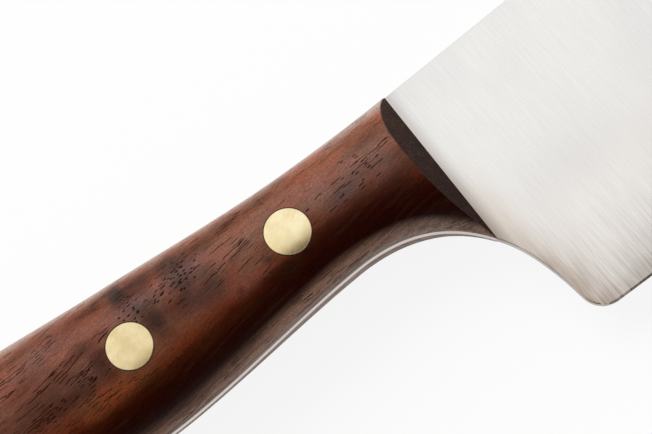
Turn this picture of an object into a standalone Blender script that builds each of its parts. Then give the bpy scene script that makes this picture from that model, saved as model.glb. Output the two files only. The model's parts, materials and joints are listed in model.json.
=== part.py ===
"""A nakiri kitchen knife: a steel blade with a full tang, two wooden scales and three two-piece rivets.

Every piece hangs on one empty, whose own axes are the knife's: X runs along the spine towards the tip,
Y runs from the cutting edge up to the spine, and Z is the thickness, measured from the middle of the
steel. Its zero point is the corner where the front of the scales meets the spine. The empty is turned a
little, so that the knife lies on its left side as it would on a table.
"""

import math

import bmesh
import bpy
from mathutils import Matrix, Vector

MM = 0.001
DEGREE = math.pi / 180

# Steel
BLADE_LENGTH = 166 * MM  # from the heel to the tip
BLADE_THICKNESS = 2.2 * MM  # at the spine and all through the tang
HEEL_DEPTH = 51.3 * MM  # from the spine to the cutting edge at the heel
HEEL_FORWARD = 3.8 * MM  # from the front foot of the scales to the heel
HEEL_RADIUS = 4.5 * MM
HEEL_SIDE_LENGTH = 5 * MM  # the straight side above the heel
HEEL_SIDE_ANGLE = 84 * DEGREE  # from the spine's direction
EDGE_FALL = 3.1 * DEGREE  # how far the edge dips from the spine's direction at the heel
BELLY_RADIUS = 1400 * MM  # of the cutting edge, seen from the side
TIP_TOP_RADIUS = 12 * MM
TIP_BOTTOM_RADIUS = 4 * MM
GRIND_HEIGHT = 36 * MM  # how far above the edge the convex grind starts
GRIND_RUN_OUT = 12 * MM  # the stretch ahead of the scales where the grind fades in
BEVEL_HEIGHT = 0.55 * MM  # of the sharpened bevel
BEVEL_RUN_IN = 3 * MM  # the stretch past the heel where that bevel starts
SHOULDER_THICKNESS = 0.5 * MM  # of the steel just above the sharpened bevel
EDGE_THICKNESS = 0.04 * MM

# Outline of the handle, shared by the tang and the scales
HANDLE_LENGTH = 122 * MM
FRONT_DEPTH = 31.9 * MM  # below the spine, where the arch passes the front foot
FRONT_BACK = 0.6 * MM  # how far behind the zero point it does so
FRONT_ANGLE = 60 * DEGREE  # of the arch there, from the spine's direction
ARCH_WAIST_FULLNESS = 0.5  # how far the arch holds its direction at each end, as a share of its chord
ARCH_FRONT_FULLNESS = 0.33
CHOIL_FULLNESS = 0.32  # and the same for both ends of the choil
WAIST_FROM_FRONT = 22 * MM
WAIST_RISE = 0.6 * MM  # of the upper side above the spine's line
WAIST_DEPTH = 19.9 * MM  # of the underside below the spine's line
SWELL_FROM_FRONT = 58 * MM
SWELL_RISE = 4.85 * MM
SWELL_DEPTH = 21.7 * MM
NECK_FROM_BUTT = 34 * MM
NECK_RISE = 8.7 * MM
NECK_DEPTH = 20.9 * MM
HOOK_FROM_BUTT = 12 * MM
HOOK_RISE = 9.3 * MM
HOOK_DEPTH = 22.9 * MM
BUTT_RISE = 8.6 * MM
BUTT_DEPTH = 22.2 * MM
BUTT_TOP_RADIUS = 9 * MM
BUTT_BOTTOM_RADIUS = 7 * MM

# Section of a scale
FRONT_THICKNESS = 7.8 * MM
WAIST_THICKNESS = 8 * MM
SWELL_THICKNESS = 9 * MM
NECK_THICKNESS = 8.6 * MM
HOOK_THICKNESS = 8.8 * MM
BUTT_THICKNESS = 2.4 * MM
BUTT_ROUND = 9 * MM  # the stretch where the butt's round narrows the scale to that
CROWN_ABOVE_RIVETS = 1 * MM  # the thickest line of the scale
TOP_LIP = 0.4 * MM  # the scale's straight rim along the upper side
FRONT_LIP = 0.3 * MM  # and along the underside, at the front
ARCH_LIP = 6 * MM  # halfway between the front and the waist
WAIST_LIP = 3.4 * MM
REAR_LIP = 0.6 * MM
FRONT_RAKE = 28 * DEGREE  # how far the front face leans back from square
FRONT_SKEW = 2 * DEGREE  # how far its foot leans back from square to the spine
GLUE_LINE = 0.05 * MM

# Rivets
RIVET_HEAD_DIAMETER = 7.9 * MM
RIVET_HEAD_DEPTH = 3 * MM
RIVET_SHANK_DIAMETER = 5 * MM
RIVET_PIN_DIAMETER = 3 * MM
FRONT_RIVET_FROM_FRONT = 27.6 * MM
REAR_RIVET_FROM_BUTT = 31 * MM
FRONT_RIVET_DEPTH = 9.3 * MM  # below the spine's line
RIVET_LINE_RISE = 2.8 * DEGREE  # the row of rivets climbs towards the butt
SLEEVE_PAST_TANG = 3 * MM  # how far the sleeve reaches into the other scale
PIN_PAST_TANG = 3 * MM  # how far the pin reaches into the sleeve's side
PIN_END_ROOM = 0.8 * MM  # between the pin's end and the bottom of the sleeve's bore
HEAD_CLEARANCE = 0.05 * MM  # round a rivet's head, and under it
SHANK_CLEARANCE = 0.1 * MM
PIN_CLEARANCE = 0.06 * MM

# Shape of the scale's section: an oval whose two exponents set how square it is across and through
ACROSS_TOP = 2.3
THROUGH_FRONT_TOP = 1.35
THROUGH_REAR_TOP = 1.8
ACROSS_UNDERSIDE = 2.3
THROUGH_FRONT_UNDERSIDE = 1.1
THROUGH_REAR_UNDERSIDE = 2.4

# Fineness of the faceted solids
HANDLE_STATIONS = 14
ARCH_STATIONS = 11
CHOIL_STATIONS = 5
CORNER_STATIONS = 6
EDGE_STATIONS = 14
GRIND_ROWS = 6
SECTION_STEPS = 7
RIVET_SIDES = 28
WELD = 1e-6

HEEL_X = HEEL_FORWARD
TIP_X = HEEL_X + BLADE_LENGTH
BUTT_X = -HANDLE_LENGTH
WAIST_X = -WAIST_FROM_FRONT
SWELL_X = -SWELL_FROM_FRONT
NECK_X = BUTT_X + NECK_FROM_BUTT
HOOK_X = BUTT_X + HOOK_FROM_BUTT
HALF_STEEL = BLADE_THICKNESS / 2
SCALE_FOOT = HALF_STEEL + GLUE_LINE  # height of a scale's inner face above the middle of the steel


def curve_through(stations, x):
    """The value at x on a smooth curve through (x, value) stations, which is level at its two ends."""
    slopes = [0.0]
    for (x0, v0), (x1, v1), (x2, v2) in zip(stations, stations[1:], stations[2:]):
        before = (v1 - v0) / (x1 - x0)
        after = (v2 - v1) / (x2 - x1)
        slopes.append((before * (x2 - x1) + after * (x1 - x0)) / (x2 - x0))
    slopes.append(0.0)
    x = min(max(x, stations[0][0]), stations[-1][0])
    for i, ((x0, v0), (x1, v1)) in enumerate(zip(stations, stations[1:])):
        if x <= x1:
            break
    span = x1 - x0
    t = (x - x0) / span
    leave = v0 + slopes[i] * span / 3
    arrive = v1 - slopes[i + 1] * span / 3
    s = 1 - t
    return s**3 * v0 + 3 * s * s * t * leave + 3 * s * t * t * arrive + t**3 * v1


def fade(x, start, length):
    """0 before start, 1 past start + length, and smooth between."""
    t = min(max((x - start) / length, 0.0), 1.0)
    return t * t * (3 - 2 * t)


def corner_drop(distance, radius):
    """How far a round corner has left the straight side, at this distance from the end."""
    reach = radius - min(max(distance, 0.0), radius)
    return radius - math.sqrt(radius**2 - reach**2)


def bezier(start, leave, arrive, end, steps):
    """Points along a cubic curve, without its last one."""
    points = []
    for i in range(steps):
        t = i / steps
        s = 1 - t
        points.append(s**3 * start + 3 * s * s * t * leave + 3 * s * t * t * arrive + t**3 * end)
    return points


def direction(angle):
    """Forwards and down from the spine's direction by an angle."""
    return Vector((math.cos(angle), -math.sin(angle)))


def edge_line(x):
    """Height of the cutting edge's line, which runs level behind the heel."""
    centre_x = HEEL_X + BELLY_RADIUS * math.sin(EDGE_FALL)
    centre_y = BELLY_RADIUS * math.cos(EDGE_FALL) - HEEL_DEPTH
    along = max(x, HEEL_X) - centre_x
    return centre_y - math.sqrt(BELLY_RADIUS**2 - along**2)


def top_line(x):
    """Height of the knife's upper side: the handle's back, then the straight spine."""
    stations = [
        (BUTT_X, BUTT_RISE),
        (HOOK_X, HOOK_RISE),
        (NECK_X, NECK_RISE),
        (SWELL_X, SWELL_RISE),
        (WAIST_X, WAIST_RISE),
        (0.0, 0.0),
    ]
    butt_corner = corner_drop(x - BUTT_X, BUTT_TOP_RADIUS)
    tip_corner = corner_drop(TIP_X - x, TIP_TOP_RADIUS)
    return curve_through(stations, x) - butt_corner - tip_corner


def handle_underside():
    """The underside from the butt to the waist."""
    stations = [
        (BUTT_X, -BUTT_DEPTH),
        (HOOK_X, -HOOK_DEPTH),
        (NECK_X, -NECK_DEPTH),
        (SWELL_X, -SWELL_DEPTH),
        (WAIST_X, -WAIST_DEPTH),
    ]
    round_end = max(BUTT_TOP_RADIUS, BUTT_BOTTOM_RADIUS, BUTT_ROUND)
    xs = []
    for i in range(CORNER_STATIONS):
        xs.append(BUTT_X + round_end * (1 - math.cos(i / CORNER_STATIONS * math.pi / 2)))
    for i in range(HANDLE_STATIONS):
        xs.append(BUTT_X + round_end + (WAIST_X - BUTT_X - round_end) * i / HANDLE_STATIONS)
    points = []
    for x in xs:
        corner = corner_drop(x - BUTT_X, BUTT_BOTTOM_RADIUS)
        points.append(Vector((x, curve_through(stations, x) + corner)))
    return points


def arch_and_choil():
    """The arch from the waist past the foot of the scales, down to the straight side above the heel."""
    waist = Vector((WAIST_X, -WAIST_DEPTH))
    foot = Vector((-FRONT_BACK, -FRONT_DEPTH))
    heel = Vector((HEEL_X, edge_line(HEEL_X)))
    side = heel - direction(HEEL_SIDE_ANGLE) * HEEL_SIDE_LENGTH
    arch_chord = (foot - waist).length
    choil_pull = (side - foot).length * CHOIL_FULLNESS
    leave_waist = waist + Vector((arch_chord * ARCH_WAIST_FULLNESS, 0.0))
    reach_foot = foot - direction(FRONT_ANGLE) * arch_chord * ARCH_FRONT_FULLNESS
    leave_foot = foot + direction(FRONT_ANGLE) * choil_pull
    reach_side = side - direction(HEEL_SIDE_ANGLE) * choil_pull
    points = bezier(waist, leave_waist, reach_foot, foot, ARCH_STATIONS)
    points += bezier(foot, leave_foot, reach_side, side, CHOIL_STATIONS)
    return points


def heel_corner():
    """The round corner between the side above the heel and the cutting edge."""
    corner = Vector((HEEL_X, edge_line(HEEL_X)))
    half_angle = (math.pi - HEEL_SIDE_ANGLE + EDGE_FALL) / 2
    setback = HEEL_RADIUS / math.tan(half_angle)
    start = corner - direction(HEEL_SIDE_ANGLE) * setback
    centre = start + direction(HEEL_SIDE_ANGLE - math.pi / 2) * HEEL_RADIUS
    points = []
    for i in range(CORNER_STATIONS + 1):
        turn = HEEL_SIDE_ANGLE + (EDGE_FALL - HEEL_SIDE_ANGLE) * i / CORNER_STATIONS
        points.append(centre - direction(turn - math.pi / 2) * HEEL_RADIUS)
    return points


def cutting_edge(start_x):
    """The edge from the end of the heel's corner to the round corner at the tip."""
    round_start = TIP_X - max(TIP_TOP_RADIUS, TIP_BOTTOM_RADIUS)
    points = []
    for i in range(1, EDGE_STATIONS + 1):
        x = start_x + (round_start - start_x) * i / EDGE_STATIONS
        points.append(Vector((x, edge_line(x))))
    for i in range(1, CORNER_STATIONS + 1):
        x = round_start + (TIP_X - round_start) * math.sin(i / CORNER_STATIONS * math.pi / 2)
        points.append(Vector((x, edge_line(x) + corner_drop(TIP_X - x, TIP_BOTTOM_RADIUS))))
    return points


def underside_outline():
    """The whole lower outline, from the butt to the tip."""
    points = handle_underside() + arch_and_choil() + heel_corner()
    return points + cutting_edge(points[-1].x)


def steel_half_thickness(x, y):
    """Half the steel's thickness: flat near the spine and in the tang, convex down to the shoulder."""
    shoulder = SHOULDER_THICKNESS / 2
    above_edge = y - edge_line(x) - BEVEL_HEIGHT
    rise = min(max(above_edge / (GRIND_HEIGHT - BEVEL_HEIGHT), 0.0), 1.0)
    ground = shoulder + (HALF_STEEL - shoulder) * (1 - (1 - rise) ** 2)
    return HALF_STEEL + (ground - HALF_STEEL) * fade(x, 0.0, GRIND_RUN_OUT)


def steel_section(point):
    """The ring of points round the steel at one station of the underside outline."""
    x, low = point
    high = top_line(x)
    bevel_start = HEEL_X + HEEL_RADIUS
    sharp = fade(x, bevel_start, BEVEL_RUN_IN) * fade(TIP_X - x, 0.0, TIP_BOTTOM_RADIUS)
    bevel_top = low + BEVEL_HEIGHT
    grind_top = max(edge_line(x) + GRIND_HEIGHT, (low + high) / 2)
    grind_top = min(grind_top, high - BEVEL_HEIGHT)
    blunt = steel_half_thickness(x, low)
    side = [(low, blunt + (EDGE_THICKNESS / 2 - blunt) * sharp)]
    for i in range(GRIND_ROWS + 1):
        y = bevel_top + (grind_top - bevel_top) * i / GRIND_ROWS
        side.append((y, steel_half_thickness(x, y)))
    side.append((high, steel_half_thickness(x, high)))
    right = [(x, y, z) for y, z in side]
    left = [(x, y, -z) for y, z in reversed(side)]
    return right + left


def rivet_line(x):
    """Height of the row of rivets."""
    return -FRONT_RIVET_DEPTH - (x + FRONT_RIVET_FROM_FRONT) * math.tan(RIVET_LINE_RISE)


def scale_shape(x):
    """The section of a scale at one station: its thickest line, thickness, lip and squareness."""
    stations = [
        (BUTT_X, HOOK_THICKNESS),
        (HOOK_X, HOOK_THICKNESS),
        (NECK_X, NECK_THICKNESS),
        (SWELL_X, SWELL_THICKNESS),
        (WAIST_X, WAIST_THICKNESS),
        (0.0, FRONT_THICKNESS),
    ]
    lips = [(SWELL_X, REAR_LIP), (WAIST_X, WAIST_LIP), (WAIST_X / 2, ARCH_LIP), (0.0, FRONT_LIP)]
    underside = [(WAIST_X / 2, THROUGH_REAR_UNDERSIDE), (0.0, THROUGH_FRONT_UNDERSIDE)]
    top = [(WAIST_X, THROUGH_REAR_TOP), (0.0, THROUGH_FRONT_TOP)]
    thickness = curve_through(stations, x)
    butt_loss = corner_drop(x - BUTT_X, BUTT_ROUND) / BUTT_ROUND
    return {
        "high": top_line(x),
        "crown": rivet_line(x) + CROWN_ABOVE_RIVETS,
        "thickness": thickness - (thickness - BUTT_THICKNESS) * butt_loss,
        "lip": curve_through(lips, x),
        "through_underside": curve_through(underside, x),
        "through_top": curve_through(top, x),
    }


def scale_section(point):
    """The ring of points round a scale at one station of the underside outline."""
    x, low = point
    shape = scale_shape(x)
    thickness = shape["thickness"]
    lip = min(shape["lip"], thickness / 2)
    crown = shape["crown"]
    ring = [(x, low, SCALE_FOOT)]
    for i in range(SECTION_STEPS + 1):
        turn = i / SECTION_STEPS * math.pi / 2
        across = math.cos(turn) ** (2 / ACROSS_UNDERSIDE)
        through = math.sin(turn) ** (2 / shape["through_underside"])
        y = crown - (crown - low) * across
        ring.append((x, y, SCALE_FOOT + lip + (thickness - lip) * through))
    for i in range(SECTION_STEPS - 1, -1, -1):
        turn = i / SECTION_STEPS * math.pi / 2
        across = math.cos(turn) ** (2 / ACROSS_TOP)
        through = math.sin(turn) ** (2 / shape["through_top"])
        y = crown + (shape["high"] - crown) * across
        ring.append((x, y, SCALE_FOOT + TOP_LIP + (thickness - TOP_LIP) * through))
    ring.append((x, shape["high"], SCALE_FOOT))
    return ring


def scale_surface(x, y, low):
    """Height of a scale's outer face over the middle of the steel, where the underside is at low."""
    shape = scale_shape(x)
    crown = shape["crown"]
    if y < crown:
        lip = min(shape["lip"], shape["thickness"] / 2)
        across = ((crown - y) / (crown - low)) ** ACROSS_UNDERSIDE
        through = 1 / shape["through_underside"]
    else:
        lip = TOP_LIP
        across = ((y - crown) / (shape["high"] - crown)) ** ACROSS_TOP
        through = 1 / shape["through_top"]
    return SCALE_FOOT + lip + (shape["thickness"] - lip) * (1 - across) ** through


def underside_at(x):
    """Height of the handle's underside at x."""
    points = underside_outline()
    for a, b in zip(points, points[1:]):
        if a.x <= x <= b.x:
            return a.y + (b.y - a.y) * (x - a.x) / (b.x - a.x)
    return points[0].y


def loft(rings):
    """A closed body through rings that have the same number of points."""
    bm = bmesh.new()
    loops = [[bm.verts.new(point) for point in ring] for ring in rings]
    for loop, following in zip(loops, loops[1:]):
        for i in range(len(loop)):
            bm.faces.new((loop[i - 1], loop[i], following[i], following[i - 1]))
    bm.faces.new(loops[0])
    bm.faces.new(reversed(loops[-1]))
    bmesh.ops.recalc_face_normals(bm, faces=bm.faces)
    return bm


def turned(profile):
    """A body turned about Z, from (radius, height) points that start and end on the axis."""
    bm = bmesh.new()
    verts = [bm.verts.new((radius, 0.0, height)) for radius, height in profile]
    edges = [bm.edges.new(pair) for pair in zip(verts, verts[1:])]
    bmesh.ops.spin(
        bm,
        geom=verts + edges,
        cent=(0.0, 0.0, 0.0),
        axis=(0.0, 0.0, 1.0),
        angle=math.tau,
        steps=RIVET_SIDES,
    )
    bmesh.ops.remove_doubles(bm, verts=bm.verts, dist=WELD)
    bmesh.ops.recalc_face_normals(bm, faces=bm.faces)
    return bm


def mirrored(bm):
    """The same body on the other side of the steel."""
    bmesh.ops.scale(bm, vec=(1.0, 1.0, -1.0), verts=bm.verts)
    bmesh.ops.reverse_faces(bm, faces=bm.faces)
    return bm


def finish(name, colour, roughness, metallic):
    """A plain surface of one colour."""
    material = bpy.data.materials.new(name)
    material.use_nodes = True
    shader = material.node_tree.nodes["Principled BSDF"]
    shader.inputs["Base Color"].default_value = (*colour, 1.0)
    shader.inputs["Roughness"].default_value = roughness
    shader.inputs["Metallic"].default_value = metallic
    return material


def place(name, bm, knife, location, material):
    """Makes the body an object of the knife, smooth across its gentle edges."""
    mesh = bpy.data.meshes.new(name)
    bm.to_mesh(mesh)
    bm.free()
    mesh.shade_smooth()
    mesh.set_sharp_from_angle(angle=30 * DEGREE)
    mesh.materials.append(material)
    item = bpy.data.objects.new(name, mesh)
    bpy.context.scene.collection.objects.link(item)
    item.parent = knife
    item.location = location
    return item


def steel(name):
    return finish(name, (0.72, 0.71, 0.70), 0.32, 1.0)


def wood(name):
    return finish(name, (0.16, 0.06, 0.035), 0.42, 0.0)


def brass(name):
    return finish(name, (0.75, 0.59, 0.31), 0.3, 1.0)


def drill(target, name, holes, knife, side):
    """Cuts each turned hole, given as its place and its profile."""
    for i, ((x, y), profile) in enumerate(holes):
        body = turned(profile)
        if side < 0:
            mirrored(body)
        cutter = place(f"{name}_{i}", body, knife, (x, y, 0.0), steel(f"{name}_{i}"))
        cutter.hide_render = True
        cutter.display_type = "WIRE"
        cut = target.modifiers.new(f"{name}_{i}", "BOOLEAN")
        cut.object = cutter


def rivet_places():
    """Where the three rivets go, from the front to the rear."""
    front = -FRONT_RIVET_FROM_FRONT
    rear = BUTT_X + REAR_RIVET_FROM_BUTT
    return [(x, rivet_line(x)) for x in (front, (front + rear) / 2, rear)]


def head_seat(x, y):
    """Height of the floor of the recess that takes a rivet's head."""
    return scale_surface(x, y, underside_at(x)) - RIVET_HEAD_DEPTH


def tang_hole():
    """A hole with room for the shank, longer than the tang is thick."""
    radius = RIVET_SHANK_DIAMETER / 2 + SHANK_CLEARANCE
    reach = BLADE_THICKNESS
    return [(0.0, reach), (radius, reach), (radius, -reach), (0.0, -reach)]


def scale_hole(x, y):
    """A through hole for the shank with a wider recess for the head."""
    shank = RIVET_SHANK_DIAMETER / 2 + SHANK_CLEARANCE
    head = RIVET_HEAD_DIAMETER / 2 + HEAD_CLEARANCE
    floor = head_seat(x, y)
    top = floor + 2 * RIVET_HEAD_DEPTH
    return [(0.0, top), (head, top), (head, floor), (shank, floor), (shank, 0.0), (0.0, 0.0)]


def ground_flush(bm, x, y):
    """Gives a rivet's head the shape of the scale round it."""
    low = underside_at(x)
    top = max(vert.co.z for vert in bm.verts)
    for vert in bm.verts:
        if vert.co.z > top - WELD:
            vert.co.z = scale_surface(x + vert.co.x, y + vert.co.y, low)
    return bm


def head_profile(top, seat):
    """The head's part of a rivet half, from the axis over the face to the underside."""
    radius = RIVET_HEAD_DIAMETER / 2
    return [(0.0, top), (radius / 2, top), (radius, top), (radius, seat)]


def sleeve_half(x, y):
    """The half with the bore, whose head is on the right."""
    seat = head_seat(x, y) + HEAD_CLEARANCE
    top = seat + RIVET_HEAD_DEPTH
    shank = RIVET_SHANK_DIAMETER / 2
    bore = RIVET_PIN_DIAMETER / 2 + PIN_CLEARANCE
    end = -SCALE_FOOT - SLEEVE_PAST_TANG
    bore_end = SCALE_FOOT + PIN_PAST_TANG + PIN_END_ROOM
    profile = head_profile(top, seat)
    profile += [(shank, seat), (shank, end), (bore, end), (bore, bore_end), (0.0, bore_end)]
    return ground_flush(turned(profile), x, y)


def pin_half(x, y):
    """The half with the pin, whose head is on the left."""
    seat = head_seat(x, y) + HEAD_CLEARANCE
    top = seat + RIVET_HEAD_DEPTH
    pin = RIVET_PIN_DIAMETER / 2
    end = -SCALE_FOOT - PIN_PAST_TANG
    profile = head_profile(top, seat)
    profile += [(pin, seat), (pin, end), (0.0, end)]
    return mirrored(ground_flush(turned(profile), x, y))


def make_blade(knife):
    """The blade and its tang, in one piece of steel."""
    body = loft([steel_section(point) for point in underside_outline()])
    blade = place("blade", body, knife, (0.0, 0.0, 0.0), steel("blade"))
    drill(blade, "tang_drill", [(at, tang_hole()) for at in rivet_places()], knife, 1)
    return blade


def make_scale(knife, name, side):
    """One wooden scale, with its front face cut at a slant."""
    past_foot = [point for point in underside_outline() if point.x < HEEL_X / 2]
    body = loft([scale_section(point) for point in past_foot])
    normal = Vector((1.0, -math.tan(FRONT_SKEW), math.tan(FRONT_RAKE)))
    cut = bmesh.ops.bisect_plane(
        body,
        geom=body.verts[:] + body.edges[:] + body.faces[:],
        dist=WELD / 10,
        plane_co=(0.0, 0.0, SCALE_FOOT),
        plane_no=normal,
        clear_outer=True,
    )
    rim = [item for item in cut["geom_cut"] if isinstance(item, bmesh.types.BMEdge)]
    bmesh.ops.contextual_create(body, geom=rim)
    bmesh.ops.recalc_face_normals(body, faces=body.faces)
    if side < 0:
        mirrored(body)
    scale = place(name, body, knife, (0.0, 0.0, 0.0), wood(name))
    drill(scale, f"{name}_drill", [(at, scale_hole(*at)) for at in rivet_places()], knife, side)
    return scale


def make_rivets(knife):
    """Three rivets, each a sleeve half and a pin half that meet inside the handle."""
    halves = []
    for label, (x, y) in zip(("front", "middle", "rear"), rivet_places()):
        for kind, make in (("sleeve", sleeve_half), ("pin", pin_half)):
            name = f"{label}_rivet_{kind}"
            halves.append(place(name, make(x, y), knife, (x, y, 0.0), brass(name)))
    return halves


def lay_down(knife, pieces):
    """Turns the knife onto the swell of its left scale and the low side of its tip.

    The origin comes under the middle of its box, on the surface that it lies on.
    """
    points = [item.location + vert.co for item in pieces for vert in item.data.vertices]
    low = edge_line(TIP_X) + TIP_BOTTOM_RADIUS
    high = edge_line(TIP_X) + GRIND_HEIGHT / 3
    tip_low = Vector((TIP_X, low, -steel_half_thickness(TIP_X, low)))
    tip_high = Vector((TIP_X, high, -steel_half_thickness(TIP_X, high)))
    up = Vector((0.0, 0.0, 1.0))
    for _ in range(5):
        swell = min((point for point in points if point.x < 0.0), key=up.dot)
        up = (tip_low - swell).cross(tip_high - swell).normalized()
    forward = (Vector((1.0, 0.0, 0.0)) - up * up.x).normalized()
    turn = Matrix((forward, up.cross(forward), up))
    turned_points = [turn @ point for point in points]
    least = Vector([min(point[i] for point in turned_points) for i in range(3)])
    most = Vector([max(point[i] for point in turned_points) for i in range(3)])
    middle = (least + most) / 2
    knife.rotation_euler = turn.to_euler()
    knife.location = (-middle.x, -middle.y, -least.z)


def build():
    for item in list(bpy.data.objects):
        bpy.data.objects.remove(item)
    knife = bpy.data.objects.new("knife", None)
    bpy.context.scene.collection.objects.link(knife)
    pieces = [make_blade(knife)]
    pieces.append(make_scale(knife, "right_scale", 1))
    pieces.append(make_scale(knife, "left_scale", -1))
    pieces += make_rivets(knife)
    lay_down(knife, pieces)


build()
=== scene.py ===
import json
import math

import bmesh
import bpy
from mathutils import Matrix, Vector


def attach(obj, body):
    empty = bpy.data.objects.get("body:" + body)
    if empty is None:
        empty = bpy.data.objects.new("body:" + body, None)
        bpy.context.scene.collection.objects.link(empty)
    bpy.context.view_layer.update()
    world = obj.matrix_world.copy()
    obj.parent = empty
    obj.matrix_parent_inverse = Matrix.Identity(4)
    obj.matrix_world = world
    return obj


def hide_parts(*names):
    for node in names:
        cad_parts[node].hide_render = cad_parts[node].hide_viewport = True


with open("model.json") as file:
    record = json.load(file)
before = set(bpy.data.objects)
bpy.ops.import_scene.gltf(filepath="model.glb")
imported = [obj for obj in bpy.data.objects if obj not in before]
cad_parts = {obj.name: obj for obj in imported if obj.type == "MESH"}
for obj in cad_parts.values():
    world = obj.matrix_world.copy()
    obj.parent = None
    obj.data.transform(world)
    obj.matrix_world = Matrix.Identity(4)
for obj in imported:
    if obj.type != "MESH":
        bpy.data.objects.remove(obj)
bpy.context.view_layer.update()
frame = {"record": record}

MM = 0.001
DEGREE = math.pi / 180

# The knife's own axes, read from its three flat faces: X along the spine towards the tip, Y from the
# cutting edge to the spine, Z through the thickness. Zero is where the front of the scales meets the
# spine.
RACK_POINT = Vector((147, -10.5, 1.1)) * MM

# Steel
BLADE_LENGTH = 166 * MM
BLADE_THICKNESS = 2.2 * MM
HEEL_DEPTH = 51.3 * MM
HEEL_FORWARD = 3.8 * MM
HEEL_RADIUS = 4.5 * MM
HEEL_SIDE_LENGTH = 5 * MM
HEEL_SIDE_ANGLE = 84 * DEGREE
EDGE_FALL = 3.1 * DEGREE
BELLY_RADIUS = 1400 * MM
TIP_TOP_RADIUS = 12 * MM
TIP_BOTTOM_RADIUS = 4 * MM
GRIND_HEIGHT = 36 * MM
GRIND_RUN_OUT = 12 * MM
SHOULDER_HEIGHT = 0.55 * MM
BEVEL_HEIGHT = 0.40 * MM
BEVEL_START = HEEL_FORWARD + 1.6 * MM
BEVEL_RUN_IN = 1.2 * MM
BEVEL_LEAST = 0.03 * MM
BEVEL_STEEPEST = 40 * DEGREE
SHOULDER_THICKNESS = 0.5 * MM
EDGE_THICKNESS = 0.04 * MM
STEEL_EDGE_BREAK = 0.16 * MM
THICK_STEEL = BLADE_THICKNESS / 2 - 0.3 * MM

# Handle
HANDLE_LENGTH = 122 * MM
FRONT_DEPTH = 31.9 * MM
FRONT_BACK = 0.6 * MM
FRONT_ANGLE = 60 * DEGREE
ARCH_WAIST_FULLNESS = 0.46
ARCH_FRONT_FULLNESS = 0.33
CHOIL_FULLNESS = 0.32
BUTT_X = -HANDLE_LENGTH
HOOK_X = -110 * MM
NECK_X = -88 * MM
SWELL_X = -58 * MM
WAIST_X = -22 * MM
BUTT_TOP_RADIUS = 9 * MM
BUTT_BOTTOM_RADIUS = 7 * MM
BUTT_ROUND = 9 * MM
BUTT_THICKNESS = 2.4 * MM
TOP_LIP = 0.4 * MM
FRONT_RAKE = 28 * DEGREE
FRONT_SKEW = 2 * DEGREE
SCALE_FOOT = BLADE_THICKNESS / 2 + 0.05 * MM
TOP_ROUNDING = 2.3
FRONT_END = -15 * MM
FRONT_EDGE_BREAK = 0.12 * MM

BACK_STATIONS = [
    (BUTT_X, 8.6 * MM),
    (HOOK_X, 9.3 * MM),
    (NECK_X, 8.7 * MM),
    (SWELL_X, 4.85 * MM),
    (WAIST_X, 0.6 * MM),
    (0.0, 0.0),
]
UNDERSIDE_STATIONS = [
    (BUTT_X, -22.2 * MM),
    (HOOK_X, -22.9 * MM),
    (NECK_X, -20.9 * MM),
    (SWELL_X, -21.7 * MM),
    (WAIST_X, -19.95 * MM),
]
THICKNESS_STATIONS = [
    (BUTT_X, 8.8 * MM),
    (HOOK_X, 8.8 * MM),
    (NECK_X, 8.6 * MM),
    (SWELL_X, 9.0 * MM),
    (WAIST_X, 8.0 * MM),
    (0.0, 7.8 * MM),
]
LIP_STATIONS = [
    (SWELL_X, 0.9 * MM),
    (WAIST_X, 3.1 * MM),
    (WAIST_X / 2, 2.7 * MM),
    (WAIST_X / 5, 1.2 * MM),
    (0.0, 0.2 * MM),
]
UNDERSIDE_SQUARENESS = [(WAIST_X / 2, 2.0), (0.0, 1.1)]
UNDERSIDE_ROUNDING = [(SWELL_X, 2.4), (WAIST_X, 2.1), (0.0, 2.2)]
TOP_SQUARENESS = [(WAIST_X, 1.8), (0.0, 1.35)]

# Rivets
RIVET_HEAD_RADIUS = 3.95 * MM
RIVET_HEAD_DEPTH = 3 * MM
RIVET_HEAD_LIFT = 0.05 * MM
RIVET_RIM_WIDTH = 0.09 * MM
RIVET_RIM_DROP = 0.05 * MM
RIVET_RINGS = 9
RIVET_RING_WIDTH = 0.4 * MM
RIVET_SHANK_RADIUS = 2.5 * MM
RIVET_PIN_RADIUS = 1.5 * MM
RIVET_BORE_RADIUS = 1.56 * MM
RIVET_REACH = 3 * MM
BORE_END = 3.8 * MM
RIVET_GAP = 0.12 * MM
HOLE_CLEARANCE = 0.1 * MM
HOLE_END = 20 * MM
RIVET_STATIONS = {"front": -27.6 * MM, "middle": -59.3 * MM, "rear": -91 * MM}
RIVET_LINE_DEPTH = 9.3 * MM
RIVET_LINE_RISE = 2.8 * DEGREE
CROWN_ABOVE_RIVETS = 1 * MM

# How finely the shapes are stepped, and how near counts as the same place
ROUND_STEPS = 128
BUTT_STEPS = 20
GRIP_STEPS = 90
ARCH_STEPS = 60
CHOIL_STEPS = 30
CORNER_STEPS = 24
EDGE_STEPS = 80
GRIND_ROWS = 16
FLAT_ROWS = 4
SCALE_STEPS = 26
FOOT_STEPS = 6
BREAK_STEPS = 3
NEAR = 1e-6
MERGED = 1e-7

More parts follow.
